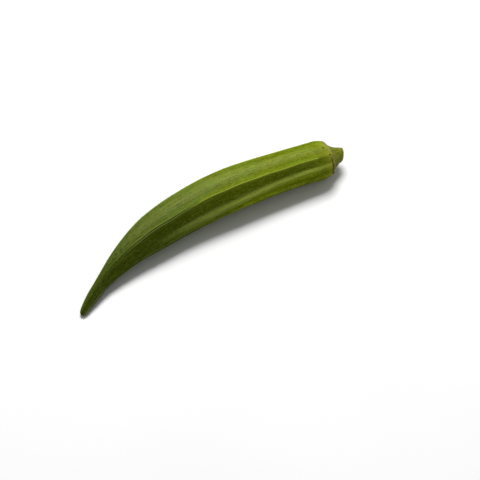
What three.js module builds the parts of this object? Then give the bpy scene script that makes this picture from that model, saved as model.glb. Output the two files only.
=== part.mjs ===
// A whole okra pod lying on its side: a curved, five-ridged capsule and its short cut stem.
// Millimetres, +Z up. X runs from the tip (-X) to the stem (+X), and the pod bows towards +Y.
import * as THREE from 'three';

// The centreline from the scar ring to the tip is one cubic curve. Its points are measured
// from the tip, with Z above the ground: the pod rests on its belly and shoulder, and its tip
// hangs a hair's breadth above the ground.
const RING_CENTRE = new THREE.Vector3(125.2, 0.7, 7.7);
const SHOULDER_PULL = new THREE.Vector3(87.4, 8.7, 10.6);
const TAPER_PULL = new THREE.Vector3(44.8, 23.0, 10.0);
const TIP_CENTRE = new THREE.Vector3(0, 0, 1.4);

// The middle of the whole footprint, measured from the tip: the part's origin stands there.
const ORIGIN = new THREE.Vector3(66.31, 6.84, 0);

// Radius over the ridges at distances along the centreline from the ring.
const POD_OUTLINE = [
  [0, 7.85], [1.2, 8.4], [4, 8.85], [10, 9.0], [25, 9.35], [44.5, 10.05], [64, 9.65],
  [83, 8.55], [100, 5.65], [113, 3.3], [122, 2.45], [128.8, 1.6],
];
const TIP_ROUNDING = 1.3;

// The shallow dish in the pod's end that the foot of the stem sits in.
const DISH_RADIUS = 5.2;
const DISH_DEPTH = 1.0;
const SCAR_GAP = 0.3;

// Ridges and ribs. Angles are measured round the section from straight up, towards +Y.
const RIDGES = 5;
const FIRST_RIDGE = THREE.MathUtils.degToRad(-27);
const FULL_TWIST = THREE.MathUtils.degToRad(34);
const TWIST_START = 65;
const TWIST_END = 145;
const FACE_FLATNESS = 0.45;
const FLUTE_DEPTH = 0.11;
const FACE_FLUTE = [0.45, 1, 0.9, 1, 1];
const RIB_HEIGHT = 0.9;
const RIDGE_WIDTH = 0.23;
const RIDGE_SHARPNESS = 1.25;
const RIB_HALF_WIDTH = [22, 22, 22, 22, 15].map(THREE.MathUtils.degToRad);
const RING_LOBES = 0.4;
const SHOULDER_LENGTH = 14;
const TAPER_START = 58;
const TAPER_END = 108;
const FLUTE_LEFT_AT_TIP = 0.45;
const RIB_LEFT_AT_TIP = 0.25;

// Each face's rib stands mid-face at the shoulder; one drifts towards its lower ridge from there.
const FACE_RIB_DRIFT = [0, 0, 0, 0, THREE.MathUtils.degToRad(18)];
const DRIFT_START = 4;
const DRIFT_END = 60;

// The stem: a flared foot that narrows to a short pedicel, cut on the slant.
const STEM_OUTLINE = [
  [0, 7.8], [0.45, 7.6], [1.4, 6.25], [2.4, 5.25], [3.9, 4.2], [5.4, 3.5], [7.1, 2.95],
];
const STEM_LOBE_LENGTH = 4;

// The stem leans off the pod's axis by these shares of its length, sideways and upwards.
const STEM_LEAN = new THREE.Vector2(-0.045, -0.036);
const CUT_ROUNDING = 0.35;
const CUT_HOLLOW = 0.3;
const CUT_SLANT = Math.tan(THREE.MathUtils.degToRad(20));
const CUT_HIGH_SIDE = THREE.MathUtils.degToRad(56);

const POD_SIDES = 80;
const POD_RINGS = 48;
const STEM_SIDES = 40;
const STEM_RINGS = 12;

const centreline = new THREE.CubicBezierCurve3(
  RING_CENTRE, SHOULDER_PULL, TAPER_PULL, TIP_CENTRE,
);
const POD_LENGTH = centreline.getLength();
const UP = new THREE.Vector3(0, 0, 1);

// The frame of the section at a distance from the ring; the ends run on straight.
function sectionFrame(distance) {
  const along = THREE.MathUtils.clamp(distance / POD_LENGTH, 0, 1);
  const tangent = centreline.getTangentAt(along);
  const centre = centreline.getPointAt(along);
  centre.addScaledVector(tangent, distance - along * POD_LENGTH);
  const side = tangent.clone().cross(UP).normalize();
  const up = side.clone().cross(tangent);
  const outOfRing = Math.max(-distance, 0);
  centre.addScaledVector(side, STEM_LEAN.x * outOfRing);
  centre.addScaledVector(up, STEM_LEAN.y * outOfRing);
  return { centre, side, up };
}

// How strongly the ridges show: soft lobes at the ring, full past the shoulder.
function lobeStrength(distance) {
  if (distance < 0) {
    return RING_LOBES * (1 - THREE.MathUtils.smoothstep(-distance, 0, STEM_LOBE_LENGTH));
  }
  const past = THREE.MathUtils.smoothstep(distance, 0, SHOULDER_LENGTH);
  return RING_LOBES + (1 - RING_LOBES) * past;
}

// The share of the outer radius that is left at an angle counted from the first ridge.
function ribbedShare(angle, distance) {
  const faceAngle = (2 * Math.PI) / RIDGES;
  const turned = THREE.MathUtils.euclideanModulo(angle, 2 * Math.PI);
  const face = Math.floor(turned / faceAngle) % RIDGES;
  const within = THREE.MathUtils.euclideanModulo(turned, faceAngle);
  const fromRidge = Math.min(within, faceAngle - within) / (faceAngle / 2);

  const taper = THREE.MathUtils.smoothstep(distance, TAPER_START, TAPER_END);
  const strength = lobeStrength(distance);
  const halfFace = faceAngle / 2;
  const chord = Math.cos(halfFace) / Math.cos(halfFace * (1 - fromRidge));
  const flattening = FACE_FLATNESS * strength * (1 - chord);

  const ridge = Math.exp(-((fromRidge / RIDGE_WIDTH) ** RIDGE_SHARPNESS));
  const drift = FACE_RIB_DRIFT[face]
    * THREE.MathUtils.smoothstep(distance, DRIFT_START, DRIFT_END);
  const ribAngle = faceAngle / 2 - drift;
  const halfWidth = RIB_HALF_WIDTH[face];
  const room = within < ribAngle ? Math.min(halfWidth, ribAngle) : halfWidth;
  const toRib = Math.min(Math.abs(within - ribAngle) / room, 1);
  const ribHeight = RIB_HEIGHT * THREE.MathUtils.lerp(1, RIB_LEFT_AT_TIP, taper);
  const rib = ribHeight * Math.cos((Math.PI / 2) * toRib) ** 2;
  const fluteDepth = FLUTE_DEPTH * FACE_FLUTE[face] * strength
    * THREE.MathUtils.lerp(1, FLUTE_LEFT_AT_TIP, taper);
  return 1 - flattening - fluteDepth * (1 - ridge - rib);
}

// Turns an outline of [distance from the ring, radius] pairs about the centreline, with ridges.
// The outline runs towards the tip, and nothing reaches below the ground.
function bentLathe(outline, sides) {
  const profile = outline.map(([distance, radius]) => new THREE.Vector2(radius, distance));
  const geometry = new THREE.LatheGeometry(profile, sides);
  const position = geometry.attributes.position;
  for (let i = 0; i < position.count; i += 1) {
    const distance = position.getY(i);
    const radius = Math.hypot(position.getX(i), position.getZ(i));
    const angle = Math.atan2(position.getX(i), position.getZ(i));
    const twist = FULL_TWIST * THREE.MathUtils.smoothstep(distance, TWIST_START, TWIST_END);
    const { centre, side, up } = sectionFrame(distance);
    const reach = radius * ribbedShare(angle, distance);
    const turned = angle + FIRST_RIDGE + twist;
    const point = centre.addScaledVector(side, reach * Math.sin(turned));
    point.addScaledVector(up, reach * Math.cos(turned));
    point.sub(ORIGIN);
    position.setXYZ(i, point.x, point.y, Math.max(point.z, 0));
  }
  return geometry;
}

// Evenly spaced points on a smooth curve through [distance, radius] pairs.
function smoothOutline(pairs, count) {
  const curve = new THREE.SplineCurve(pairs.map(([x, y]) => new THREE.Vector2(x, y)));
  return curve.getSpacedPoints(count).map((point) => [point.x, point.y]);
}

function makePod() {
  const skin = smoothOutline(POD_OUTLINE, POD_RINGS);
  const [endDistance, endRadius] = skin[skin.length - 1];
  const outline = [
    [DISH_DEPTH, 0],
    [DISH_DEPTH * 0.75, DISH_RADIUS * 0.5],
    [0, DISH_RADIUS],
    ...skin,
    [endDistance + TIP_ROUNDING * 0.5, endRadius * 0.87],
    [endDistance + TIP_ROUNDING * 0.87, endRadius * 0.5],
    [endDistance + TIP_ROUNDING, 0],
  ];
  return bentLathe(outline, POD_SIDES);
}

// The stem's outline is written from its foot outwards, so distances become negative here.
function makeStem() {
  const skin = smoothOutline(STEM_OUTLINE, STEM_RINGS);
  const [length, cutRadius] = skin[skin.length - 1];
  const outward = [
    [-DISH_DEPTH, 0],
    [-DISH_DEPTH * 0.75, DISH_RADIUS * 0.5],
    [0, DISH_RADIUS],
    ...skin,
    [length + CUT_ROUNDING, cutRadius - CUT_ROUNDING],
    [length + CUT_ROUNDING - CUT_HOLLOW, (cutRadius - CUT_ROUNDING) * 0.6],
    [length + CUT_ROUNDING - CUT_HOLLOW, 0],
  ];
  const outline = outward.map(([distance, radius]) => [-distance - SCAR_GAP, radius]).reverse();
  return slantCut(bentLathe(outline, STEM_SIDES), length);
}

// Shears the outer part of the stem along its own axis, so that its cut face is slanted.
function slantCut(geometry, length) {
  const { centre, side, up } = sectionFrame(0);
  const outwards = side.clone().cross(up);
  const foot = centre.sub(ORIGIN);
  const highSide = side.clone().multiplyScalar(Math.sin(CUT_HIGH_SIDE));
  highSide.addScaledVector(up, Math.cos(CUT_HIGH_SIDE));
  const position = geometry.attributes.position;
  const point = new THREE.Vector3();
  for (let i = 0; i < position.count; i += 1) {
    point.fromBufferAttribute(position, i).sub(foot);
    const reach = THREE.MathUtils.smoothstep(point.dot(outwards), length * 0.5, length);
    point.addScaledVector(outwards, CUT_SLANT * reach * point.dot(highSide));
    point.add(foot);
    position.setXYZ(i, point.x, point.y, point.z);
  }
  return geometry;
}

const podSkin = new THREE.MeshStandardMaterial({ color: 0x6d8a2a, roughness: 0.55, metalness: 0 });
const stemSkin = new THREE.MeshStandardMaterial({ color: 0x7b7f2e, roughness: 0.65, metalness: 0 });

const pod = new THREE.Mesh(makePod(), podSkin);
pod.name = 'pod';

const stem = new THREE.Mesh(makeStem(), stemSkin);
stem.name = 'stem';

const okra = new THREE.Group();
okra.name = 'okra_pod';
okra.add(pod, stem);

export default okra;
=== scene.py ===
import math
from types import SimpleNamespace

import bpy
import numpy as np
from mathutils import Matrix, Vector


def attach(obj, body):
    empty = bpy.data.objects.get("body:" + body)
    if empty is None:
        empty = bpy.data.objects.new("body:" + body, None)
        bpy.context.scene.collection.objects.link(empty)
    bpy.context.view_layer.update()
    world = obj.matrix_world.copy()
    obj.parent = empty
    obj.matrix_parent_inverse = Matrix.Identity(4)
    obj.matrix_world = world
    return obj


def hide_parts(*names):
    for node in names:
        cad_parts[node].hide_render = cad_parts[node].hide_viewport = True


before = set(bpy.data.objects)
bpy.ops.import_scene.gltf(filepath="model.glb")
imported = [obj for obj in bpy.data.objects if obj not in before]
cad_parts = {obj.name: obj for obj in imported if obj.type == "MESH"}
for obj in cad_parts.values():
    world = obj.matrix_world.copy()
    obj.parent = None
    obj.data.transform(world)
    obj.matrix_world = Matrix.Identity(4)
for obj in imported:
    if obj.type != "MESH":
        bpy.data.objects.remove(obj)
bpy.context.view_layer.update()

bl_info = {
    "name": "Okra Pod",
    "version": (1, 0, 0),
    "blender": (4, 5, 0),
    "location": "3D View > Sidebar > Okra",
    "description": "Makes the ribbed skin, cut stem, scar ring and fuzz of an okra pod",
    "category": "Add Mesh",
}

MM = 0.001

# The centreline from the scar ring to the tip, in millimetres from the tip, and the part's origin.
RING_CENTRE = (125.2, 0.7, 7.7)
SHOULDER_PULL = (87.4, 8.7, 10.6)
TAPER_PULL = (44.8, 23.0, 10.0)
TIP_CENTRE = (0.0, 0.0, 1.4)
ORIGIN = (66.31, 6.84, 0.0)

# Radius over the ridges at distances from the ring, in millimetres.
POD_OUTLINE = [
    (0, 7.85), (1.2, 8.4), (4, 8.85), (10, 9.0), (25, 9.35), (44.5, 10.05), (64, 9.65),
    (83, 8.55), (100, 5.65), (113, 3.3), (122, 2.45), (128.8, 1.6),
]
TIP_ROUNDING = 1.3
STEM_LEAN = (-0.045, -0.036)
STEM_OUTLINE = [
    (0, 7.8), (0.45, 7.6), (1.4, 6.25), (2.4, 5.25), (3.9, 4.2), (5.4, 3.5), (7.1, 2.95),
]
DISH_RADIUS = 5.2
DISH_DEPTH = 1.0
DISH = np.array([[DISH_DEPTH * 0.75, DISH_RADIUS * 0.5], [0, DISH_RADIUS]])
SCAR_GAP = 0.3

# Ridges and ribs; angles go round the section from straight up towards +Y.
RIDGES = 5
FACE_ANGLE = math.tau / RIDGES
FIRST_RIDGE = math.radians(-27)
FULL_TWIST = math.radians(34)
TWIST_START = 65.0
TWIST_END = 145.0
FACE_FLATNESS = 0.45
FLUTE_DEPTH = 0.11
FACE_FLUTE = np.array([0.45, 1.0, 0.9, 1.0, 1.0])
RIB_HEIGHT = 0.9
RIDGE_WIDTH = 0.23
RIDGE_SHARPNESS = 1.25
RIB_HALF_WIDTH = np.radians([22, 22, 22, 22, 15])
FACE_RIB_DRIFT = np.radians([0, 0, 0, 0, 18])
DRIFT_START = 4.0
DRIFT_END = 60.0
RING_LOBES = 0.4
SHOULDER_LENGTH = 14.0
STEM_LOBE_LENGTH = 4.0
TAPER_START = 58.0
TAPER_END = 108.0
FLUTE_LEFT_AT_TIP = 0.45
RIB_LEFT_AT_TIP = 0.25

# The two faces that the camera sees best, and the flank's lower ridge, which leans.
TOP_FACE = 0
FLANK_FACE = 4
LEANING_RIDGE = 4

# Fine relief and narrow bands of the skin, in millimetres and radians.
RIDGE_SWAY = math.radians(0.5)
SWAY_HALF_WIDTH = 0.35
RIDGE_LEAN = math.radians(8.5)
FACE_SWELL = 0.07
SWELL_HALF_WIDTH = 0.3
FIBRE_RELIEF = 0.006
SEAM_HALF_WIDTH = 0.14
LIP_OFFSET = 0.34
LIP_HALF_WIDTH = 0.16
LIP_HEIGHT = 0.4
# A lighter band below the flank's rib is painted light
LIT_STRIP_OFF_RIB = math.radians(-14.5)
LIT_STRIP_HALF_WIDTH = math.radians(12)
# A dark band beside the upper ridge at the tip is painted shade
FURROW_SHADE_ANGLE = math.radians(-10)
FURROW_SHADE_HALF_WIDTH = math.radians(14)
TIP_SHRINK = 0.3
TIP_SHRINK_LENGTH = 1.5

# Small marks on the skin: millimetres from the ring, degrees round, radius and kind.
SKIN_MARKS = (
    (2.0, 28, 0.5, "dark"),
    (7.0, 1, 0.3, "pale"),
    (0.4, 1, 0.55, "brown"),
    (95.3, 27, 0.75, "dark"),
    (96.9, 29, 0.6, "dark"),
    (98.8, 31, 0.7, "dark"),
    (99.6, 23, 0.5, "dark"),
    (101.6, 34, 0.75, "dark"),
    (103.8, 30, 0.65, "dark"),
    (107.0, 36, 0.6, "dark"),
)
MARK_STRETCH = 0.55

# The stem's slanted cut and its lengthwise lines.
CUT_ROUNDING = 0.35
CUT_HOLLOW = 0.3
CUT_ROUGHNESS = 0.03
CUT_SLANT = math.tan(math.radians(20))
CUT_HIGH_SIDE = math.radians(56)
STEM_LINE_RELIEF = 0.035

# Radius of the scar ring's foot at distances from the pod's end, and how deep it is sunk.
SCAR_FOOT = ((-0.75, 7.52), (-0.3, 7.76), (0.0, 7.83), (0.45, 8.03))
SCAR_SINK = 0.05

# Hairs: how deep a root is sunk, and the lowest that a root and a hair's end may be.
HAIR_SINK = 0.06
LOWEST_ROOT = 0.35
LOWEST_HAIR_END = 0.02

# Steps of the outline where only its radius is read, and the seeds of the random draws.
OUTLINE_STEPS = 400
SKIN_SEED = 7
STEM_SEED = 19
SCAR_SEED = 23

# The camera stands where the photograph was taken from; its aim is a point on the ground.
CAMERA_AZIMUTH = math.radians(-36.08)
CAMERA_ELEVATION = math.radians(55)
CAMERA_DISTANCE = 0.9
CAMERA_AIM = (0.00758, -0.01444, 0.0)
CAMERA_LENS = 160.7

# The floor's half width and mottling, and the key light, which stands behind the object.
FLOOR_HALF = 3.0
FLOOR_MOTTLE = (0.5, 0.5, 0.5)
KEY_ELEVATION = math.radians(62)
KEY_DISTANCE = 1.1
KEY_SIZE = 0.55


def screen(red, green, blue):
    """A colour as it shows on a screen, 0 to 255, as the linear values that shaders take."""
    def linear(value):
        share = value / 255
        return share / 12.92 if share <= 0.04045 else ((share + 0.055) / 1.055) ** 2.4
    return (linear(red), linear(green), linear(blue))


def colour_property(name, description, *on_screen):
    return bpy.props.FloatVectorProperty(
        name=name, description=description, default=screen(*on_screen),
        size=3, min=0.0, max=1.0, subtype="COLOR",
    )


def length_property(name, description, default_mm):
    return bpy.props.FloatProperty(
        name=name, description=description, default=default_mm * MM,
        min=0.0, soft_max=0.02, precision=5, subtype="DISTANCE", unit="LENGTH",
    )


def factor_property(name, description, default):
    return bpy.props.FloatProperty(
        name=name, description=description, default=default,
        min=0.0, max=1.0, subtype="FACTOR",
    )


# Geometry shared by the pod, the stem, the ring and the hairs

def smoothstep(value, low, high):
    share = np.clip((np.asarray(value, float) - low) / (high - low), 0, 1)
    return share * share * (3 - 2 * share)


def lerp(start, end, share):
    return start + (end - start) * share


def bell(value, middle, half_width):
    """One where a value is at the middle, falling away on both sides."""
    return np.exp(-((value - middle) / half_width) ** 2)


def wrapped(angle):
    """An angle brought to within half a turn of zero."""
    return np.angle(np.exp(1j * angle))


def unit(vectors):
    return vectors / np.linalg.norm(vectors, axis=-1, keepdims=True)


def even_angles(sides):
    """Angles that part a whole turn evenly."""
    return np.arange(sides) * math.tau / sides


class Centreline:
    """The pod's curved axis, read by distance from the ring; both ends run on straight."""

    STEPS = 600

    def __init__(self):
        t = np.linspace(0, 1, self.STEPS + 1)[:, None]
        pulls = [np.array(p, float) for p in
                 (RING_CENTRE, SHOULDER_PULL, TAPER_PULL, TIP_CENTRE)]
        weights = ((1 - t) ** 3, 3 * (1 - t) ** 2 * t, 3 * (1 - t) * t ** 2, t ** 3)
        self.points = sum(w * p for w, p in zip(weights, pulls))
        slopes = (3 * (1 - t) ** 2, 6 * (1 - t) * t, 3 * t ** 2)
        legs = [pulls[k + 1] - pulls[k] for k in range(3)]
        tangents = sum(w * leg for w, leg in zip(slopes, legs))
        self.tangents = unit(tangents)
        steps = np.linalg.norm(np.diff(self.points, axis=0), axis=1)
        self.distances = np.concatenate([[0], np.cumsum(steps)])
        self.length = float(self.distances[-1])

    def section(self, distance):
        """Centre, side, up and tangent at an array of distances."""
        distance = np.asarray(distance, float)
        held = np.clip(distance, 0, self.length)
        read = lambda table: np.stack(
            [np.interp(held, self.distances, table[:, k]) for k in range(3)], -1)
        tangent = unit(read(self.tangents))
        centre = read(self.points) + tangent * (distance - held)[..., None]
        side = unit(np.cross(tangent, [0.0, 0.0, 1.0]))
        up = np.cross(side, tangent)
        out_of_ring = np.maximum(-distance, 0)[..., None]
        centre = centre + (side * STEM_LEAN[0] + up * STEM_LEAN[1]) * out_of_ring
        return centre, side, up, tangent


centreline = Centreline()


def smooth_outline(pairs, count):
    """Evenly spaced points on the uniform Catmull-Rom curve through the pairs."""
    knots = np.array(pairs, float)
    last = len(knots) - 1
    t = np.linspace(0, last, 40 * last + 1)
    k = np.minimum(t.astype(int), last - 1)
    x = (t - k)[:, None]
    before, here = knots[np.maximum(k - 1, 0)], knots[k]
    there, after = knots[k + 1], knots[np.minimum(k + 2, last)]
    pull_in, pull_out = (there - before) / 2, (after - here) / 2
    curve = ((2 * here - 2 * there + pull_in + pull_out) * x ** 3
             + (-3 * here + 3 * there - 2 * pull_in - pull_out) * x ** 2
             + pull_in * x + here)
    reach = np.concatenate([[0], np.cumsum(np.linalg.norm(np.diff(curve, axis=0), axis=1))])
    even = np.linspace(0, reach[-1], count + 1)
    return np.stack([np.interp(even, reach, curve[:, c]) for c in range(2)], 1)


def lobe_strength(distance):
    """How strongly the ridges show: soft lobes at the ring, full past the shoulder."""
    stem_fade = RING_LOBES * (1 - smoothstep(-distance, 0, STEM_LOBE_LENGTH))
    pod_rise = lerp(RING_LOBES, 1, smoothstep(distance, 0, SHOULDER_LENGTH))
    return np.where(distance < 0, stem_fade, pod_rise)


def read_face(angle):
    """Number of the face at an angle from the first ridge, and the angle past its start."""
    turned = np.mod(angle, math.tau)
    return np.floor(turned / FACE_ANGLE).astype(int) % RIDGES, np.mod(turned, FACE_ANGLE)


def read_section(angle, distance):
    """Face number, share of the way from the nearest ridge to mid-face, ridge and rib."""
    face, within = read_face(angle)
    from_ridge = np.minimum(within, FACE_ANGLE - within) / (FACE_ANGLE / 2)
    ridge = np.exp(-(from_ridge / RIDGE_WIDTH) ** RIDGE_SHARPNESS)
    off = rib_offset(angle, distance)
    half_width = RIB_HALF_WIDTH[face]
    room = np.where(off < 0, np.minimum(half_width, within - off), half_width)
    rib = np.cos(math.pi / 2 * np.minimum(np.abs(off) / room, 1)) ** 2
    return face, from_ridge, ridge, rib


def rib_offset(angle, distance):
    """Angle past each face's rib, which is mid-face but for the one that drifts."""
    face, within = read_face(angle)
    drift = FACE_RIB_DRIFT[face] * smoothstep(distance, DRIFT_START, DRIFT_END)
    return within - (FACE_ANGLE / 2 - drift)


def fuzz_and_sheen_band(angle, distance):
    """Where grey fuzz and painted sheen lie: a wide band on the top face, a narrower one above the
    flank's rib.
    """
    face, _ = read_face(angle)
    past_rim = smoothstep(distance, 3, 10)
    spread = smoothstep(distance, 8, 74)
    widest = smoothstep(distance, 10, 44)
    narrowed = smoothstep(distance, 52, 66)
    tip_end = smoothstep(distance, 90, 112)
    # Each band's middle past the rib and half width, in degrees, and its strength
    top = (-14 + 12 * past_rim + 6 * spread,
           32 - 8 * past_rim + 30 * spread,
           0.59 - 0.39 * tip_end)
    flank = (6.4 - 2 * widest + 2.8 * narrowed,
             13 + 9 * widest - 5 * narrowed,
             0.96 - 0.14 * widest - 0.72 * smoothstep(distance, 62, 92))
    centre, half_width, strength = (
        np.select([face == TOP_FACE, face == FLANK_FACE], [on_top, on_flank], other)
        for on_top, on_flank, other in zip(top, flank, (0.0, 20.0, 0.7 - 0.4 * tip_end)))
    off = np.abs(rib_offset(angle, distance) - np.radians(centre)) / np.radians(half_width)
    return strength * np.cos(math.pi / 2 * np.minimum(off, 1)) ** 2


def ribbed_share(angle, distance, flute_depth, rib_height):
    """The share of the outer radius left at an angle counted from the first ridge."""
    face, from_ridge, ridge, rib = read_section(angle, distance)
    taper = smoothstep(distance, TAPER_START, TAPER_END)
    strength = lobe_strength(distance)
    half = FACE_ANGLE / 2
    chord = math.cos(half) / np.cos(half * (1 - from_ridge))
    flattening = FACE_FLATNESS * strength * (1 - chord)
    rib = rib * rib_height * lerp(1, RIB_LEFT_AT_TIP, taper)
    flute = flute_depth * FACE_FLUTE[face] * strength
    flute = flute * lerp(1, FLUTE_LEFT_AT_TIP, taper)
    return 1 - flattening - flute * (1 - ridge - rib)


def place(angle, distance, reach):
    """Points in the part's frame, in millimetres, at an angle from the first ridge."""
    centre, side, up, _ = centreline.section(distance)
    twist = FULL_TWIST * smoothstep(distance, TWIST_START, TWIST_END)
    turned = angle + FIRST_RIDGE + twist
    points = (centre + side * (reach * np.sin(turned))[..., None]
              + up * (reach * np.cos(turned))[..., None])
    points = points - np.array(ORIGIN)
    points[..., 2] = np.maximum(points[..., 2], 0)
    return points


def waves(rng, count, longest, shortest):
    """A smooth seeded wander of unit size, as a function of a distance or an angle."""
    lengths = np.geomspace(longest, shortest, count)
    phases = rng.uniform(0, math.tau, count)
    sizes = rng.uniform(0.5, 1, count)
    sizes = sizes / np.sqrt((sizes ** 2).sum() / 2)

    def read(distance):
        distance = np.asarray(distance, float)[..., None]
        return (sizes * np.sin(math.tau * distance / lengths + phases)).sum(-1)
    return read


def lathe_faces(rings, sides):
    """Quads of a tube of rings, and the triangle fans to one pole vertex at each end."""
    ring = np.arange(rings - 1)[:, None] * sides
    around = np.arange(sides)
    onward = (around + 1) % sides
    quads = np.stack([ring + around, ring + onward,
                      ring + sides + onward, ring + sides + around], -1).reshape(-1, 4)
    first_pole, last_pole = rings * sides, rings * sides + 1
    last = (rings - 1) * sides
    starts = [(first_pole, int(b), int(a)) for a, b in zip(around, onward)]
    ends = [(last_pole, int(last + a), int(last + b)) for a, b in zip(around, onward)]
    return quads.tolist() + starts + ends


def section_grid(outline, sides):
    """Distance, radius and angle of a lathe's vertices, with a row for each outline point."""
    distance = np.repeat(outline[:, :1], sides, 1)
    radius = np.repeat(outline[:, 1:], sides, 1)
    angle = np.tile(even_angles(sides), (len(outline), 1))
    return distance, radius, angle


def with_poles(grid, ends=(0, 0)):
    """A grid's values in one row, then those of its first and last pole."""
    return np.concatenate([grid.ravel(), ends])


def fine_lines(rng, angle, distance, count, turns, drift, falloff=0.0):
    """Seeded lengthwise lines: sines round the section that drift a little along it."""
    lines = np.zeros_like(angle)
    for _ in range(count):
        lobes = rng.integers(*turns)
        slope = rng.uniform(-drift, drift)
        wave = np.sin(lobes * angle + slope * distance + rng.uniform(0, math.tau))
        lines += wave / lobes ** falloff
    return lines


def add_object(name, data):
    """A new object in the scene."""
    made = bpy.data.objects.new(name, data)
    bpy.context.scene.collection.objects.link(made)
    return made


def make_object(name, points_mm, faces, attributes):
    """A smooth mesh object in metres; attributes are named arrays with a value a vertex."""
    mesh = bpy.data.meshes.new(name)
    mesh.from_pydata((np.asarray(points_mm) * MM).tolist(), [], faces)
    for key, values in attributes.items():
        values = np.asarray(values, np.float32)
        kind = "FLOAT_VECTOR" if values.ndim == 2 else "FLOAT"
        layer = mesh.attributes.new(key, kind, "POINT")
        layer.data.foreach_set("vector" if values.ndim == 2 else "value", values.ravel())
    mesh.validate()
    mesh.shade_smooth()
    return add_object(name, mesh)


def straightened(angle, distance, radius):
    """Where a point would lie if the pod were straight: fibres run along the first axis."""
    return np.stack([distance, radius * np.sin(angle), radius * np.cos(angle)], -1)


def evened(radius):
    """The pod's radius with less taper, so that its fibres narrow only a little to the tip."""
    return 0.6 * radius + 3.4


# Node materials

class Paint:
    """A node material that is painted coat by coat over a ground colour."""

    def __init__(self, name, ground):
        self.material = bpy.data.materials.new(name)
        self.material.use_nodes = True
        self.tree = self.material.node_tree
        self.shader = self.tree.nodes["Principled BSDF"]
        self.body = ground

    def node(self, kind, inputs=(), **settings):
        made = self.tree.nodes.new(kind)
        for key, value in settings.items():
            setattr(made, key, value)
        for key, value in dict(inputs).items():
            self.feed(made.inputs[key], value)
        return made

    def feed(self, socket, value):
        if isinstance(value, bpy.types.NodeSocket):
            self.tree.links.new(value, socket)
        elif hasattr(value, "__len__") and len(value) == 3 and socket.type == "RGBA":
            socket.default_value = (*value, 1)
        else:
            socket.default_value = value

    def attribute(self, name, output="Fac"):
        return self.node("ShaderNodeAttribute", attribute_name=name).outputs[output]

    def stretched(self, vector, along, across):
        """A vector scaled along the fibres, which run along its first axis, and across them."""
        scale = (along, across, across)
        return self.node("ShaderNodeMapping", {"Vector": vector, "Scale": scale}).outputs[0]

    def noise(self, vector, along, across, detail=3.0, roughness=0.55):
        made = self.node("ShaderNodeTexNoise", {
            "Vector": self.stretched(vector, along, across), "Scale": 1.0,
            "Detail": detail, "Roughness": roughness})
        return made.outputs["Fac"]

    def spots(self, vector, along, across):
        """Distance to the nearest scattered point, and that point's random tint."""
        made = self.node("ShaderNodeTexVoronoi", {
            "Vector": self.stretched(vector, along, across), "Scale": 1.0})
        return made.outputs["Distance"], made.outputs["Color"]

    def ramp(self, value, low, high, to_low=0.0, to_high=1.0):
        """Maps a value smoothly from one range to another and holds it there."""
        made = self.node("ShaderNodeMapRange", {
            "Value": value, "From Min": low, "From Max": high,
            "To Min": to_low, "To Max": to_high}, interpolation_type="SMOOTHSTEP")
        return made.outputs["Result"]

    def math(self, operation, first, second=0.0):
        made = self.node("ShaderNodeMath", operation=operation)
        self.feed(made.inputs[0], first)
        self.feed(made.inputs[1], second)
        return made.outputs[0]

    def times(self, product, *factors):
        for factor in factors:
            product = self.math("MULTIPLY", product, factor)
        return product

    def line(self, value, middle, outer, inner, strength=1.0):
        """A soft line where a value is near the middle, full within the inner distance."""
        off = self.math("ABSOLUTE", self.math("SUBTRACT", value, middle))
        return self.ramp(off, outer, inner, 0, strength)

    def mix(self, factor, first, second):
        """Mixes two colours; the node's colour sockets come after its number and vector ones."""
        made = self.node("ShaderNodeMix", data_type="RGBA")
        self.feed(made.inputs[0], factor)
        self.feed(made.inputs[6], first)
        self.feed(made.inputs[7], second)
        return made.outputs[2]

    def coat(self, share, colour):
        """Paints a colour over what is there, by a share from 0 to 1."""
        self.body = self.mix(share, self.body, colour)

    def bump(self, height, strength, distance_mm, under=None):
        made = self.node("ShaderNodeBump", {
            "Height": height, "Strength": strength, "Distance": distance_mm * MM})
        if under is not None:
            self.feed(made.inputs["Normal"], under)
        return made.outputs["Normal"]

    def finish(self, **inputs):
        """Gives the shader its painted colour and its other inputs."""
        for key, value in {"Base_Color": self.body, **inputs}.items():
            self.feed(self.shader.inputs[key.replace("_", " ")], value)
        return self.material


def skin_material(look):
    """The pod's skin: grey-green fuzz on the ribs with painted sheen, valleys deepened in green as
    painted shade, pale crest lines that are partly painted highlight, and fine streaks.
    """
    paint = Paint("pod_skin_paint", look.belly_green)
    skin = read_skin(paint)
    for coats in (skin_greens, skin_fuzz_and_sheen, skin_cool_patches, skin_crests, skin_rim,
                  skin_specks, skin_marks):
        coats(paint, look, skin)
    grain = paint.noise(skin.fibre, 2.2, 6, 3, 0.6)
    normal = paint.bump(skin.streak, 0.35, 0.16)
    normal = paint.bump(skin.stubble, 0.35, 0.12, normal)
    normal = paint.bump(grain, 0.4, 0.04, normal)
    rough = paint.ramp(skin.mottle, 0.3, 0.7, look.roughness - 0.08, look.roughness + 0.1)
    return paint.finish(
        Roughness=rough, Normal=normal,
        Specular_IOR_Level=paint.ramp(skin.rib, 0, 0.7, 0.0, 0.1),
    )


def read_skin(paint):
    """The skin's attributes, its parts from end to end, and noises along its fibres."""
    fibre = paint.attribute("fibre", "Vector")
    names = ("along", "rib", "valley", "strip", "furrow", "gap", "crest", "seam", "flecks")
    skin = SimpleNamespace(fibre=fibre, **{name: paint.attribute(name) for name in names})
    skin.taper = paint.ramp(skin.along, 20, 100)
    skin.tip = paint.ramp(skin.along, 92, 116)
    skin.upper = paint.ramp(
        paint.node("ShaderNodeSeparateXYZ", {0: fibre}).outputs["Y"], -2, 2)
    skin.bundle = paint.noise(fibre, 0.03, 0.8)
    skin.streak = paint.noise(fibre, 0.05, 1.6, 4, 0.6)
    skin.fine = paint.noise(fibre, 0.3, 2.1, 3, 0.6)
    skin.mottle = paint.noise(fibre, 1.0, 1.6, 4, 0.65)
    skin.stubble = paint.noise(fibre, 1.1, 1.9, 2, 0.6)
    return skin


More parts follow.
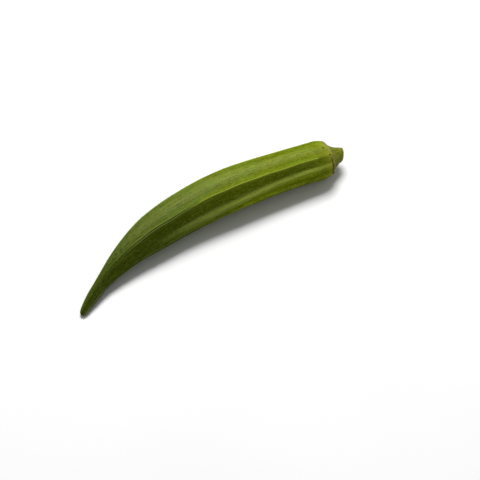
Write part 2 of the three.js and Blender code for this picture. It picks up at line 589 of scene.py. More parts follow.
def skin_greens(paint, look, skin):
    """Belly green runs to dark green at the tip; the valleys get a deeper green as painted shade,
    which spreads over the flank near the tip; a lighter band under the flank's rib is painted
    light, and a dark band beside the upper ridge at the tip is painted shade.
    """
    broad = paint.noise(skin.fibre, 0.035, 0.4)
    paint.coat(skin.taper, look.taper_green)
    paint.coat(skin.tip, look.tip_green)
    paint.coat(paint.ramp(skin.along, 24, 2), look.cap_green)
    # Painted shade: the deeper green of the valleys and of the flank near the tip; it is also laid
    # in random broad patches
    valley_shade_paint = paint.mix(skin.taper, look.valley_shade_green, look.taper_valley_shade)
    paint.coat(paint.ramp(broad, 0.38, 0.68, 0, 0.25), valley_shade_paint)
    paint.coat(paint.times(skin.valley, 0.9), valley_shade_paint)
    # Painted light: a lighter green band under the flank's rib
    paint.coat(paint.times(skin.strip, 0.8), look.lit_strip_green)
    # Painted shade: a dark band beside the upper ridge at the tip
    paint.coat(paint.times(skin.furrow, 0.75), look.furrow_shade_green)


def skin_fuzz_and_sheen(paint, look, skin):
    """Grey fuzz with painted sheen, broken into fibres, then dark and pale fibres and flecks."""
    broken = paint.times(paint.ramp(skin.streak, 0.32, 0.56, 0.65, 1.05),
                         paint.ramp(skin.bundle, 0.36, 0.56, 0.55, 1.05))
    broken = paint.math("MAXIMUM", broken, paint.ramp(skin.upper, 1, 0, 0, 0.74))
    fuzz_sheen_paint = paint.mix(skin.upper, look.flank_fuzz_sheen, look.fuzz_sheen_green)
    fuzz_sheen_paint = paint.mix(skin.taper, fuzz_sheen_paint, look.taper_fuzz_sheen)
    # Grey fuzz with painted sheen along the ribs
    paint.coat(paint.times(skin.rib, broken), fuzz_sheen_paint)
    paint.coat(paint.ramp(skin.streak, 0.52, 0.72, 0, 0.25), fuzz_sheen_paint)
    fibre_share = paint.ramp(skin.flecks, 0.3, 0.7, 0.4, 1)
    for dark_fibres in (paint.ramp(skin.streak, 0.46, 0.3, 0, 0.36),
                        paint.ramp(skin.fine, 0.5, 0.34, 0, 0.45)):
        paint.coat(paint.times(dark_fibres, fibre_share), look.deep_green)
    paint.coat(paint.ramp(skin.fine, 0.52, 0.66, 0, 0.4), fuzz_sheen_paint)
    dark_flecks = paint.math("ADD", paint.ramp(skin.mottle, 0.5, 0.3, 0, 0.35),
                             paint.ramp(skin.stubble, 0.5, 0.34, 0, 0.5))
    paint.coat(paint.times(dark_flecks, skin.flecks), look.deep_green)
    pale_flecks = paint.ramp(skin.stubble, 0.52, 0.68, 0, 0.5)
    paint.coat(paint.times(pale_flecks, skin.flecks), fuzz_sheen_paint)


def skin_cool_patches(paint, look, skin):
    """Some long patches of the upper faces are a cooler green."""
    patch = paint.noise(skin.fibre, 0.06, 0.3, 2, 0.5)
    cool_paint = paint.mix(skin.taper, look.cool_green, look.taper_cool)
    paint.coat(paint.times(paint.ramp(patch, 0.44, 0.62, 0, 0.2), skin.upper), cool_paint)


def skin_crests(paint, look, skin):
    """A pale line on each crest, partly a painted highlight, and a dark seam between pale lips near
    the tip.
    """
    # Pale crest line, partly a painted highlight
    line = paint.times(paint.line(skin.gap, 0, 0.36, 0.1), skin.crest,
                       paint.ramp(skin.streak, 0.3, 0.55, 0.5, 1))
    paint.coat(line, paint.mix(skin.tip, look.ridge_pale_highlight, look.crest_grey_highlight))
    lips_fade = paint.times(paint.ramp(skin.along, 90, 104, 1, 0.2),
                            paint.ramp(skin.streak, 0.36, 0.54, 0.45, 1), skin.seam)
    for middle, strength in ((-0.3, 1), (0.62, 0.55)):
        lip = paint.line(skin.gap, middle, 0.3, 0.08, strength)
        paint.coat(paint.times(lip, lips_fade), look.lip_pale)
    seam = paint.line(skin.gap, 0.18, 0.32, 0.12, 0.85)
    paint.coat(paint.times(seam, skin.seam), look.seam_dark)


def skin_rim(paint, look, skin):
    """The rim beside the scar is yellowed and stained."""
    rim = paint.times(paint.ramp(skin.along, 4.4, 0.4, 0, 0.8),
                      paint.ramp(skin.valley, 0.02, 0.34, 1, 0.35))
    paint.coat(rim, look.rim_olive)
    stain = paint.times(paint.ramp(skin.mottle, 0.5, 0.68),
                        paint.ramp(skin.along, 1.6, 0.1), 0.4)
    paint.coat(stain, look.speck_brown)


def skin_specks(paint, look, skin):
    """Sparse brown specks, and dark dashes that gather on the faces before the tip."""
    distance, tint = paint.spots(skin.fibre, 0.28, 0.45)
    speck = paint.times(paint.ramp(distance, 0.1, 0.04), paint.ramp(tint, 0.62, 0.7), 0.7)
    paint.coat(speck, look.speck_brown)
    distance, tint = paint.spots(skin.fibre, 0.55, 2.0)
    dash = paint.times(paint.ramp(distance, 0.34, 0.16), paint.ramp(tint, 0.5, 0.6))
    gathered = paint.times(paint.ramp(skin.along, 78, 92, 0.1, 1),
                           paint.ramp(skin.along, 112, 100, 0.2, 1),
                           paint.ramp(skin.rib, 0.1, 0.5, 0.15, 0.8))
    paint.coat(paint.times(dash, gathered), look.dash_green)


def skin_marks(paint, look, skin):
    """Single marks, drawn out along the fibres and ragged at the edge."""
    outline = smooth_outline(POD_OUTLINE, OUTLINE_STEPS)
    tints = {"dark": look.dash_green, "pale": look.mark_pale, "brown": look.speck_brown}
    squeezed = paint.stretched(skin.fibre, MARK_STRETCH, 1)
    ragged = paint.ramp(skin.stubble, 0.3, 0.7, -0.08, 0.08)
    for distance, degrees, size, kind in SKIN_MARKS:
        radius = evened(np.interp(distance, outline[:, 0], outline[:, 1]))
        centre = straightened(math.radians(degrees), distance, radius) * (MARK_STRETCH, 1, 1)
        off = paint.node("ShaderNodeVectorMath", {0: squeezed, 1: centre.tolist()},
                         operation="DISTANCE").outputs["Value"]
        off = paint.math("ADD", off, ragged)
        paint.coat(paint.ramp(off, size, size * 0.3, 0, 0.85), tints[kind])


def stem_material(look):
    """Khaki stem skin with fine lengthwise lines and a few brown specks."""
    paint = Paint("stem_skin_paint", look.khaki)
    fibre = paint.attribute("fibre", "Vector")
    along = paint.attribute("along")
    streak = paint.noise(fibre, 0.3, 1.6, 4, 0.6)
    fine = paint.noise(fibre, 0.8, 7)
    mottle = paint.noise(fibre, 0.8, 0.8, 4, 0.65)
    paint.coat(paint.ramp(streak, 0.42, 0.6), look.olive)
    paint.coat(paint.ramp(mottle, 0.5, 0.68, 0, 0.6), look.deep_olive)
    paint.coat(paint.ramp(along, -1.5, -0.4, 0, 0.6), look.foot_pale)
    dark_line = paint.times(paint.ramp(along, -6.3, -6.7),
                            paint.ramp(mottle, 0.42, 0.56), 0.6)
    paint.coat(dark_line, look.deep_olive)
    paint.coat(paint.ramp(along, -7.0, -7.25), look.cut_edge)
    distance, tint = paint.spots(fibre, 0.9, 0.9)
    speck = paint.times(paint.ramp(distance, 0.22, 0.12),
                        paint.ramp(tint, 0.7, 0.78), 0.75)
    paint.coat(speck, look.speck_brown)
    normal = paint.bump(streak, 0.4, 0.12)
    normal = paint.bump(fine, 0.4, 0.05, normal)
    rough = paint.ramp(mottle, 0.3, 0.7, 0.52, 0.7)
    return paint.finish(Roughness=rough, Normal=normal, Specular_IOR_Level=0.06)


def cut_material(look):
    """The cut end of the stem: pale pith inside a darker ring of fibres."""
    paint = Paint("stem_cut_paint", look.pith)
    fibre = paint.attribute("fibre", "Vector")
    share = paint.attribute("cut_share")
    pores, _ = paint.spots(fibre, 0, 5)
    mottle = paint.noise(fibre, 0, 2.2, 4, 0.6)
    paint.coat(paint.ramp(share, 0.35, 0.7), look.fibre_ring)
    paint.coat(paint.ramp(share, 0.78, 0.95), look.cut_edge)
    paint.coat(paint.ramp(mottle, 0.5, 0.7, 0, 0.6), look.cut_brown)
    paint.coat(paint.ramp(pores, 0.3, 0.1, 0, 0.5), look.cut_brown)
    rough = paint.ramp(mottle, 0.3, 0.7, 0.7, 0.9)
    return paint.finish(Roughness=rough, Normal=paint.bump(pores, 0.5, 0.12))


def cork_material(look):
    """The corky scar ring: tan, browner in patches of wear and on its lower side as painted shade,
    with dark grit all over.
    """
    paint = Paint("scar_cork_paint", look.tan)
    fibre = paint.attribute("fibre", "Vector")
    shaded_underside = paint.attribute("shaded_underside")
    patch = paint.noise(fibre, 0.6, 0.35, 4, 0.6)
    grit = paint.noise(fibre, 3.5, 2, 4, 0.7)
    # Brown in patches of wear, and painted shade on the ring's lower side
    worn_and_shaded = paint.math("ADD", paint.times(shaded_underside, 0.3), patch)
    paint.coat(paint.ramp(worn_and_shaded, 0.55, 0.72), look.brown)
    paint.coat(paint.ramp(grit, 0.48, 0.68, 0, 0.8), look.dark_brown)
    rough = paint.ramp(grit, 0.3, 0.7, 0.75, 0.95)
    return paint.finish(
        Roughness=rough, Normal=paint.bump(grit, 0.6, 0.15), Specular_IOR_Level=0.1,
    )


def hair_material(look):
    """Short hairs, each of its own shade between green and pale."""
    paint = Paint("pod_hair_paint", look.hair_green)
    shade = paint.attribute("shade")
    paint.coat(shade, look.hair_pale)
    rough = paint.ramp(shade, 0, 1, 0.45, 0.65)
    return paint.finish(Roughness=rough, Specular_IOR_Level=0.15)


def floor_material(look):
    """A plain pale tabletop with the faintest mottling."""
    paint = Paint("floor_paint", look.floor)
    position = paint.node("ShaderNodeTexCoord").outputs["Object"]
    mottle = paint.noise(position, 9, 9, 2)
    paint.coat(paint.ramp(mottle, 0.3, 0.7, 0, 0.06), FLOOR_MOTTLE)
    return paint.finish(Roughness=0.9, Specular_IOR_Level=0.1)


# Settings that a user would change

class OkraPodSettings(bpy.types.PropertyGroup):
    """Form and colours of the ribbed skin."""

    flute_depth: factor_property(
        "Flute Depth", "Depth of the valleys between ridges, as a share of the radius", FLUTE_DEPTH)
    rib_height: factor_property(
        "Rib Height", "Height of the broad ribs, as a share of the flute depth", RIB_HEIGHT)
    seam_depth: length_property(
        "Seam Depth", "Depth of the dark seam along the ridges near the tip", 0.13)
    sides: bpy.props.IntProperty(
        name="Sides", description="Vertices round the skin", default=360, min=60, max=380)
    rings: bpy.props.IntProperty(
        name="Rings", description="Rows of vertices along the skin", default=250, min=60, max=260)
    roughness: factor_property("Roughness", "Mean roughness of the skin", 0.5)
    belly_green: colour_property("Belly", "Skin at the belly", 111, 122, 20)
    taper_green: colour_property("Taper", "Skin of the taper", 80, 93, 16)
    tip_green: colour_property("Tip", "Skin of the tip", 47, 56, 2)
    cap_green: colour_property("Cap", "Skin near the stem end", 118, 127, 22)
    # Painted shade: deeper greens of the valleys and of the flank near the tip
    valley_shade_green: colour_property("Valleys", "Valleys beside ridges", 79, 94, 0)
    taper_valley_shade: colour_property("Taper Valleys", "Valleys of the taper", 44, 53, 1)
    # Painted light: a lighter band under the flank's rib
    lit_strip_green: colour_property("Strip", "Bright strip under the rib", 138, 156, 12)
    # Painted shade: a dark band beside the upper ridge at the tip
    furrow_shade_green: colour_property("Tip Furrow", "Dark furrow at the tip", 28, 37, 0)
    # Grey of the fuzz, with painted sheen on the ribs
    fuzz_sheen_green: colour_property("Fuzz", "Fuzzy ribs and pale streaks", 126, 139, 40)
    flank_fuzz_sheen: colour_property("Flank Fuzz", "Fuzz of the flank", 130, 143, 52)
    taper_fuzz_sheen: colour_property("Taper Fuzz", "Fuzz of the taper", 97, 109, 46)
    cool_green: colour_property("Cool Patches", "Cooler patches", 98, 134, 42)
    taper_cool: colour_property("Taper Patches", "Cooler taper", 68, 100, 38)
    deep_green: colour_property("Dark Fibres", "Dark fibres and flecks", 48, 60, 2)
    dash_green: colour_property("Dashes", "Dashes before the tip", 40, 50, 8)
    # Pale crest lines, partly painted highlight
    ridge_pale_highlight: colour_property("Crest Line", "Line along each ridge", 146, 160, 56)
    crest_grey_highlight: colour_property("Tip Crest", "The same line at the tip", 116, 128, 80)
    lip_pale: colour_property("Seam Lip", "Pale lips beside the seam", 108, 122, 62)
    seam_dark: colour_property("Seam", "Seam along the ridges near the tip", 20, 30, 0)
    rim_olive: colour_property("Rim", "Yellowed rim next to the scar", 134, 140, 42)
    speck_brown: colour_property("Specks", "Brown specks and stains", 56, 48, 10)
    mark_pale: colour_property("Nicks", "Pale nicks", 156, 170, 80)


class OkraStemSettings(bpy.types.PropertyGroup):
    """Colours of the stem and its cut end."""

    khaki: colour_property("Khaki", "Skin of the stem", 114, 116, 28)
    olive: colour_property("Olive", "Greener streaks", 92, 102, 20)
    deep_olive: colour_property("Deep Olive", "Darker patches", 60, 66, 8)
    foot_pale: colour_property("Foot", "Pale edge of the flared foot", 132, 134, 60)
    speck_brown: colour_property("Specks", "Brown specks", 66, 58, 20)
    pith: colour_property("Pith", "Middle of the cut", 150, 150, 88)
    fibre_ring: colour_property("Fibre Ring", "Ring of fibres in the cut", 112, 112, 46)
    cut_edge: colour_property("Cut Edge", "Edge of the cut", 150, 154, 56)
    cut_brown: colour_property("Cut Brown", "Dried spots of the cut", 98, 84, 42)


class OkraScarSettings(bpy.types.PropertyGroup):
    """Size and colours of the corky ring between pod and stem."""

    width: length_property("Width", "Width of the ring along the pod", 0.95)
    height: length_property("Height", "How far the ring stands proud", 0.18)
    tan: colour_property("Tan", "Sound cork", 150, 140, 62)
    # Brown of wear in the cork, and painted shade on the ring's lower side
    brown: colour_property("Brown", "Worn cork", 88, 78, 8)
    dark_brown: colour_property("Dark Brown", "Cracks of the ring", 48, 42, 2)


class OkraHairSettings(bpy.types.PropertyGroup):
    """Amount, size and colour of the fuzz."""

    count: bpy.props.IntProperty(
        name="Count", description="Hairs, counting those left out against the ground",
        default=26000, min=0, max=45000)
    length: length_property("Length", "Length of a ridge hair", 0.55)
    thickness: length_property("Thickness", "Thickness of a hair at its root", 0.045)
    seed: bpy.props.IntProperty(name="Seed", description="Random seed", default=11)
    hair_pale: colour_property("Pale", "Pale hairs", 142, 156, 40)
    hair_green: colour_property("Green", "Greener hairs", 90, 104, 8)


class OkraStageSettings(bpy.types.PropertyGroup):
    """Floor and lights of the studio."""

    floor: bpy.props.FloatVectorProperty(
        name="Floor", description="Colour of the floor", default=(0.82, 0.82, 0.82),
        size=3, min=0.0, max=1.0, subtype="COLOR")
    key_power: bpy.props.FloatProperty(
        name="Key Light", description="Power of the key light", default=15.0, min=0.0,
        unit="POWER")
    fill_strength: bpy.props.FloatProperty(
        name="Fill", description="Strength of the even fill light", default=0.3, min=0.0)


# Pieces

def skin_outline(rings):
    """Distance and radius of the skin's outline, from the dish at the ring to the tip's end."""
    skin = smooth_outline(POD_OUTLINE, rings)
    end_distance, end_radius = skin[-1]
    quarter = np.linspace(0, math.pi / 2, 9)[1:-1]
    tip = np.stack([end_distance + TIP_ROUNDING * np.sin(quarter), end_radius * np.cos(quarter)], 1)
    outline = np.concatenate([DISH, skin, tip])
    into_tip = outline[:, 0] - end_distance + TIP_SHRINK_LENGTH
    into_tip = np.clip(into_tip / (TIP_SHRINK_LENGTH + TIP_ROUNDING), 0, 1)
    outline[:, 1] *= 1 - TIP_SHRINK * into_tip ** 2
    return outline, end_distance + TIP_ROUNDING


def ridge_wander(rng, angle, distance):
    """How far the ridges sway round the section and the faces swell, as none are quite alike."""
    sway = np.zeros_like(angle)
    swell = np.zeros_like(angle)
    for k in range(RIDGES):
        lean = waves(rng, 4, 70, 14)(distance) * RIDGE_SWAY
        if k == LEANING_RIDGE:
            lean += RIDGE_LEAN * (1 - smoothstep(distance, 40, 70))
        sway += bell(wrapped(angle - k * FACE_ANGLE), 0, SWAY_HALF_WIDTH) * lean
        nearest = bell(wrapped(angle - (k + 0.5) * FACE_ANGLE), 0, SWELL_HALF_WIDTH)
        swell += nearest * waves(rng, 5, 45, 7)(distance) * FACE_SWELL
    return sway, swell


def paint_shares(angle, distance, across, seam):
    """Where each coat of the skin's paint lies, as grids of shares."""
    face, _, ridge, rib = read_section(angle, distance)
    on_flank = face == FLANK_FACE
    off_rib = rib_offset(angle, distance)
    fuzz = fuzz_and_sheen_band(angle, distance)

    # Deeper green in the valleys is painted shade; on the flank it is left out under the rib and
    # spreads over the face towards the tip, painted shade there too
    valley = np.clip(1 - 1.3 * ridge - 1.2 * rib, 0, 1)
    valley *= 0.35 + 0.65 * FACE_FLUTE[face]
    valley *= np.where(on_flank & (off_rib < 0), 1 - 0.7 * smoothstep(distance, 3, 12), 1)
    valley = np.where(on_flank, np.maximum(valley, 0.8 * smoothstep(distance, 64, 90)), valley)
    # Painted light: a lighter band under the flank's rib, where the surface faces down
    strip = bell(off_rib, LIT_STRIP_OFF_RIB, LIT_STRIP_HALF_WIDTH) * on_flank
    strip *= smoothstep(distance, 4, 10) * (1 - smoothstep(distance, 38, 56))

    # Pale crest lines, partly painted highlight, end before the tip; the leaning ridge, which faces
    # down into shade, keeps only a tenth of its line and gets a painted light line of its own at
    # the tip
    crest = 0.9 * smoothstep(distance, 5, 9) * (1 - smoothstep(distance, 60, 84))
    nearest_ridge = np.round(angle / FACE_ANGLE).astype(int) % RIDGES
    at_tip = 0.6 * smoothstep(distance, 92, 105)
    crest = np.where(nearest_ridge == LEANING_RIDGE, 0.1 * crest + at_tip, crest)

    # At the tip a dark band beside the upper ridge is painted shade; no groove is modelled there
    furrow = bell(wrapped(angle - FURROW_SHADE_ANGLE), 0, FURROW_SHADE_HALF_WIDTH)
    upper_side = np.mod(angle, FACE_ANGLE) < FACE_ANGLE / 2
    return {
        # The rib share holds grey fuzz and painted sheen
        "rib": fuzz * lobe_strength(distance),
        "valley": valley * lobe_strength(distance),
        "strip": strip,
        "furrow": furrow * smoothstep(distance, 102, 114),
        "gap": np.where(upper_side, across, -across),
        "crest": crest,
        "seam": seam,
        "flecks": np.where(face == TOP_FACE, 0.7, 0.8 - 0.5 * fuzz),
    }


def skin_form(settings):
    """Vertices, faces and paint attributes of the ribbed skin."""
    rng = np.random.default_rng(SKIN_SEED)
    outline, tip_end = skin_outline(settings.rings)
    distance, radius, angle = section_grid(outline, settings.sides)
    _, from_ridge, ridge, _ = read_section(angle, distance)
    across = from_ridge * FACE_ANGLE / 2 * radius
    skin_share = smoothstep(distance, 0.3, 3) * (1 - smoothstep(distance, 124, 129))
    sway, swell = ridge_wander(rng, angle, distance)
    fibres = fine_lines(rng, angle, distance, 26, (35, 120), 0.05)
    fibres *= FIBRE_RELIEF * skin_share * (1 - ridge)

    # A sunken seam with raised lips splits each ridge towards the tip
    seam = smoothstep(distance, 56, 72) * (1 - smoothstep(distance, 104, 121))
    groove = bell(across, 0, SEAM_HALF_WIDTH) * seam
    lips = bell(across, LIP_OFFSET, LIP_HALF_WIDTH) * seam
    seam_mm = settings.seam_depth / MM

    share = ribbed_share(angle, distance, settings.flute_depth, settings.rib_height)
    reach = radius * share + swell * skin_share + fibres + (LIP_HEIGHT * lips - groove) * seam_mm
    points = place(angle + sway * skin_share, distance, reach)
    poles_distance = np.array([DISH_DEPTH, tip_end])
    poles = place(np.zeros(2), poles_distance, np.zeros(2))
    vertices = np.concatenate([points.reshape(-1, 3), poles])
    all_distance = with_poles(distance, poles_distance)
    attributes = {
        "fibre": straightened(with_poles(angle), all_distance, evened(with_poles(radius))),
        "along": all_distance,
    }
    at_poles = {"gap": (9, 9), "flecks": (1, 1)}
    for key, grid in paint_shares(angle, distance, across, seam).items():
        attributes[key] = with_poles(grid, at_poles.get(key, (0, 0)))
    return vertices, lathe_faces(len(outline), settings.sides), attributes


def stem_form(sides=160, rings=70):
    """Vertices, faces and attributes of the stem, and the numbers of its cut end's faces."""
    rng = np.random.default_rng(STEM_SEED)
    skin = smooth_outline(STEM_OUTLINE, rings)
    length, cut_radius = skin[-1]
    turn = np.linspace(0, math.pi / 2, 6)[1:]
    edge = np.stack([length + CUT_ROUNDING * np.sin(turn),
                     cut_radius - CUT_ROUNDING * (1 - np.cos(turn))], 1)
    rim = edge[-1, 1]
    inward = np.linspace(1, 0, 10)[1:-1]
    hollow = length + CUT_ROUNDING - CUT_HOLLOW * smoothstep(1 - inward, 0.05, 0.45)
    face = np.stack([hollow, rim * inward], 1)
    outline = np.concatenate([DISH * (-1, 1), skin, edge, face])
    distance, radius, angle = section_grid(outline, sides)
    distance = -distance - SCAR_GAP

    lines = fine_lines(rng, angle, distance, 16, (7, 40), 0.2, 0.5)
    outside = smoothstep(radius, 1.8, 2.5) * smoothstep(-distance, 0.5, 1.6)
    cut = np.zeros_like(angle)
    cut[len(DISH) + len(skin) + 2:] = 1
    torn = cut * (waves(rng, 6, 2.4, 0.5)(radius * np.cos(angle)) * CUT_ROUGHNESS
                  + waves(rng, 6, 2.4, 0.5)(radius * np.sin(angle)) * CUT_ROUGHNESS)
    share = ribbed_share(angle, distance, FLUTE_DEPTH, RIB_HEIGHT)
    reach = radius * share + lines * STEM_LINE_RELIEF * outside
    points = place(angle, distance + torn, reach)
    poles_distance = np.array([DISH_DEPTH, -(length + CUT_ROUNDING - CUT_HOLLOW)]) - SCAR_GAP
    poles = place(np.zeros(2), poles_distance, np.zeros(2))
    vertices = slant_cut(np.concatenate([points.reshape(-1, 3), poles]), length)
    all_distance = with_poles(distance, poles_distance)
    attributes = {
        "fibre": straightened(with_poles(angle), all_distance, with_poles(radius)),
        "along": all_distance,
        "cut_share": with_poles(radius / rim),
    }
    faces = [tuple(reversed(f)) for f in lathe_faces(len(outline), sides)]
    first_cut = (len(DISH) + len(skin) + len(edge) - 2) * sides
    quads = (len(outline) - 1) * sides
    cut_faces = [k for k in range(len(faces)) if first_cut <= k < quads or k >= quads + sides]
    return vertices, faces, attributes, cut_faces


def slant_cut(points, length):
    """Shears the outer part of the stem along its own axis, as its cut is slanted."""
    centre, side, up, tangent = centreline.section(0.0)
    outwards = -tangent
    foot = centre - np.array(ORIGIN)
    high_side = side * math.sin(CUT_HIGH_SIDE) + up * math.cos(CUT_HIGH_SIDE)
    local = points - foot
    reach = smoothstep(local @ outwards, length * 0.5, length)
    return points + (CUT_SLANT * reach * (local @ high_side))[:, None] * outwards


def scar_form(settings, sides=320, rings=18):
    """A closed band round the joint between pod and stem, with an uneven crown, wider on its lower
    side, which is marked for painted shade.
    """
    rng = np.random.default_rng(SCAR_SEED)
    turn = even_angles(rings)
    angle = np.tile(even_angles(sides), (rings, 1))
    wander = waves(rng, 7, math.tau, 0.25)
    below = -np.degrees(wrapped(angle))
    # The lower side of the ring is wider, and marked for painted shade in the cork's paint
    shaded_underside = smoothstep(below, 0, 15) * (1 - smoothstep(below, 110, 150))
    width = settings.width / MM / 2 * (0.7 + 0.8 * shaded_underside + 0.14 * wander(angle))
    height = settings.height / MM * (1 + 0.25 * waves(rng, 8, 1.4, 0.12)(angle))
    middle = -SCAR_GAP / 2 + 0.05 * waves(rng, 4, math.tau, 0.8)(angle)
    distance = middle + width * np.cos(turn)[:, None]
    foot = np.interp(distance, *np.transpose(SCAR_FOOT))
    radius = foot + height * np.sin(turn)[:, None] - SCAR_SINK
    base = radius * ribbed_share(angle, np.zeros_like(angle), FLUTE_DEPTH, RIB_HEIGHT)
    points = place(angle, distance, base)
    ring = np.arange(rings)[:, None] * sides
    onward_ring = ((np.arange(rings) + 1) % rings)[:, None] * sides
    side = np.arange(sides)
    onward = (side + 1) % sides
    quads = np.stack([ring + side, onward_ring + side,
                      onward_ring + onward, ring + onward], -1).reshape(-1, 4)
    attributes = {
        "fibre": straightened(angle, distance, radius).reshape(-1, 3),
        "shaded_underside": shaded_underside.ravel(),
    }
    return points.reshape(-1, 3), quads.tolist(), attributes


def hair_form(settings, pod):
    """Three-sided hairs: longer and denser on the ridges, and none against the ground."""
    rng = np.random.default_rng(settings.seed)
    distances, radii = smooth_outline(POD_OUTLINE, OUTLINE_STEPS).T
    tries = settings.count * 6
    distance = rng.uniform(1.5, centreline.length - 0.5, tries)
    angle = rng.uniform(0, math.tau, tries)
    radius = np.interp(distance, distances, radii)
    _, _, ridge, rib = read_section(angle, distance)
    wanted = np.maximum(0.12 + 0.88 * ridge, 0.45 * rib) * radius / radii.max()
    kept = rng.uniform(0, 1, tries) < wanted
    distance, angle, radius, ridge = (a[kept][:settings.count] for a in
                                      (distance, angle, radius, ridge))

    def surface(turn, reach_along):
        reach = np.interp(reach_along, distances, radii)
        share = ribbed_share(turn, reach_along, pod.flute_depth, pod.rib_height)
        return place(turn, reach_along, reach * share)

    root = surface(angle, distance)
    ahead = unit(surface(angle, distance + 0.2) - root)
    beside = unit(surface(angle + 0.01, distance) - root)
    out = unit(np.cross(beside, ahead))
    clear = root[:, 2] > LOWEST_ROOT
    root, ahead, beside, out, ridge = (a[clear] for a in (root, ahead, beside, out, ridge))
    count = len(root)
    lean = rng.normal(0, 0.3, (count, 2))
    heading = unit(out + ahead * (0.45 + lean[:, :1]) + beside * lean[:, 1:])
    length = settings.length / MM * (0.42 + 0.58 * ridge) * rng.uniform(0.55, 1.1, count)
    thick = settings.thickness / MM * (0.7 + 0.3 * ridge) / 2
    tip = root + heading * length[:, None]
    tip[:, 2] = np.maximum(tip[:, 2], LOWEST_HAIR_END)
    corners = []
    for k in range(3):
        turn = math.tau * k / 3
        offset = ahead * math.cos(turn) + beside * math.sin(turn)
        corners.append(root + offset * thick[:, None] - out * HAIR_SINK)
    vertices = np.stack([*corners, tip], 1).reshape(-1, 3)
    first = np.arange(count) * 4
    sides = [np.stack([first + (k + 1) % 3, first + k, first + 3], 1) for k in range(3)]
    shade = np.repeat(rng.uniform(0, 1, count), 4)
    return vertices, np.concatenate(sides).tolist(), {"shade": shade}


# Operators, one for each piece and one for the stage

class OKRA_OT_skin(bpy.types.Operator):
    """Make the ribbed skin of the pod"""

    bl_idname = "okra.skin"
    bl_label = "Pod Skin"

    def execute(self, context):
        settings = context.scene.okra_pod
        skin = make_object("okra_skin", *skin_form(settings))
        skin.data.materials.append(skin_material(settings))
        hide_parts("pod")
        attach(skin, "root")
        return {"FINISHED"}


class OKRA_OT_stem(bpy.types.Operator):
    """Make the flared stem and its cut end"""

    bl_idname = "okra.stem"
    bl_label = "Stem"

    def execute(self, context):
        settings = context.scene.okra_stem
        vertices, faces, attributes, cut_faces = stem_form()
        stem = make_object("okra_stem", vertices, faces, attributes)
        stem.data.materials.append(stem_material(settings))
        stem.data.materials.append(cut_material(settings))
        for index in cut_faces:
            stem.data.polygons[index].material_index = 1
        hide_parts("stem")
        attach(stem, "root")
        return {"FINISHED"}


class OKRA_OT_scar(bpy.types.Operator):
    """Make the corky scar ring between pod and stem"""

    bl_idname = "okra.scar"
    bl_label = "Scar Ring"

    def execute(self, context):
        settings = context.scene.okra_scar
        scar = make_object("okra_scar_ring", *scar_form(settings))
        scar.data.materials.append(cork_material(settings))
        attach(scar, "root")
        return {"FINISHED"}


class OKRA_OT_hairs(bpy.types.Operator):
    """Grow the short hairs of the skin as mesh"""

    bl_idname = "okra.hairs"
    bl_label = "Fuzz"

    def execute(self, context):
        settings = context.scene.okra_hair
        hairs = make_object("okra_hairs", *hair_form(settings, context.scene.okra_pod))
        hairs.data.materials.append(hair_material(settings))
        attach(hairs, "root")
        return {"FINISHED"}


def view_direction(azimuth, elevation):
    """From the object towards a viewer; azimuth 0 looks along +Y."""
    return Vector((math.sin(azimuth) * math.cos(elevation),
                   -math.cos(azimuth) * math.cos(elevation), math.sin(elevation)))


def stand_off(made, aim, direction, distance):
    """Stands a light or camera off a point along a direction, turned to face the point."""
    made.location = Vector(aim) + direction * distance
    made.rotation_mode = "QUATERNION"
    made.rotation_quaternion = (-direction).to_track_quat("-Z", "Y")


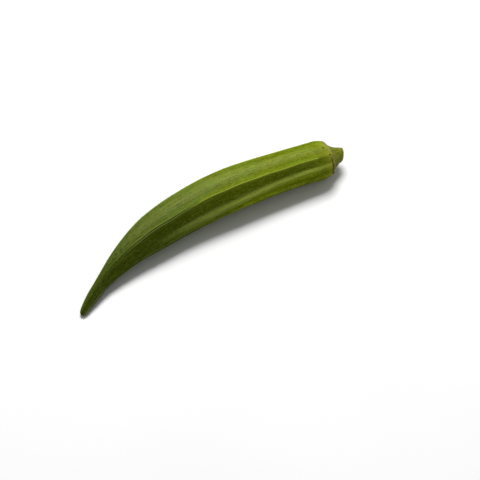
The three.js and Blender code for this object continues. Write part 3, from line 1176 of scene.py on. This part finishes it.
class OKRA_OT_stage(bpy.types.Operator):
    """Set up the floor, the lights and the camera"""

    bl_idname = "okra.stage"
    bl_label = "Stage"

    def execute(self, context):
        settings = context.scene.okra_stage
        scene = context.scene
        mesh = bpy.data.meshes.new("floor")
        corners = [(x * FLOOR_HALF, y * FLOOR_HALF, 0)
                   for x, y in ((-1, -1), (1, -1), (1, 1), (-1, 1))]
        mesh.from_pydata(corners, [], [(0, 1, 2, 3)])
        floor = add_object("floor", mesh)
        floor.data.materials.append(floor_material(settings))

        lamp = bpy.data.lights.new("key_light", "AREA")
        lamp.shape = "DISK"
        lamp.size = KEY_SIZE
        lamp.energy = settings.key_power
        behind = view_direction(CAMERA_AZIMUTH + math.pi, KEY_ELEVATION)
        stand_off(add_object("key_light", lamp), (0, 0, 0), behind, KEY_DISTANCE)
        world = bpy.data.worlds.new("studio")
        world.use_nodes = True
        background = world.node_tree.nodes["Background"]
        background.inputs["Color"].default_value = (1, 1, 1, 1)
        background.inputs["Strength"].default_value = settings.fill_strength
        scene.world = world
        scene.view_settings.view_transform = "Standard"

        camera = bpy.data.cameras.new("camera")
        camera.lens = CAMERA_LENS
        camera.clip_start = 0.01
        scene.camera = add_object("camera", camera)
        back = view_direction(CAMERA_AZIMUTH, CAMERA_ELEVATION)
        stand_off(scene.camera, CAMERA_AIM, back, CAMERA_DISTANCE)
        return {"FINISHED"}


class OKRA_PT_panel(bpy.types.Panel):
    """Lists the pieces of the okra pod in the sidebar"""

    bl_label = "Okra Pod"
    bl_idname = "OKRA_PT_panel"
    bl_space_type = "VIEW_3D"
    bl_region_type = "UI"
    bl_category = "Okra"

    def draw(self, context):
        scene = context.scene
        for operator, settings in (
            (OKRA_OT_skin, scene.okra_pod),
            (OKRA_OT_stem, scene.okra_stem),
            (OKRA_OT_scar, scene.okra_scar),
            (OKRA_OT_hairs, scene.okra_hair),
            (OKRA_OT_stage, scene.okra_stage),
        ):
            box = self.layout.box()
            box.operator(operator.bl_idname)
            for name in settings.__annotations__:
                box.prop(settings, name)


SETTINGS = {
    "okra_pod": OkraPodSettings,
    "okra_stem": OkraStemSettings,
    "okra_scar": OkraScarSettings,
    "okra_hair": OkraHairSettings,
    "okra_stage": OkraStageSettings,
}
CLASSES = (
    *SETTINGS.values(),
    OKRA_OT_skin,
    OKRA_OT_stem,
    OKRA_OT_scar,
    OKRA_OT_hairs,
    OKRA_OT_stage,
    OKRA_PT_panel,
)


def register():
    for cls in CLASSES:
        bpy.utils.register_class(cls)
    for name, cls in SETTINGS.items():
        setattr(bpy.types.Scene, name, bpy.props.PointerProperty(type=cls))


def unregister():
    for name in SETTINGS:
        delattr(bpy.types.Scene, name)
    for cls in reversed(CLASSES):
        bpy.utils.unregister_class(cls)


def main():
    register()
    bpy.ops.okra.stage()
    bpy.ops.okra.skin()
    bpy.ops.okra.stem()
    bpy.ops.okra.scar()
    bpy.ops.okra.hairs()


if __name__ == "__main__":
    main()
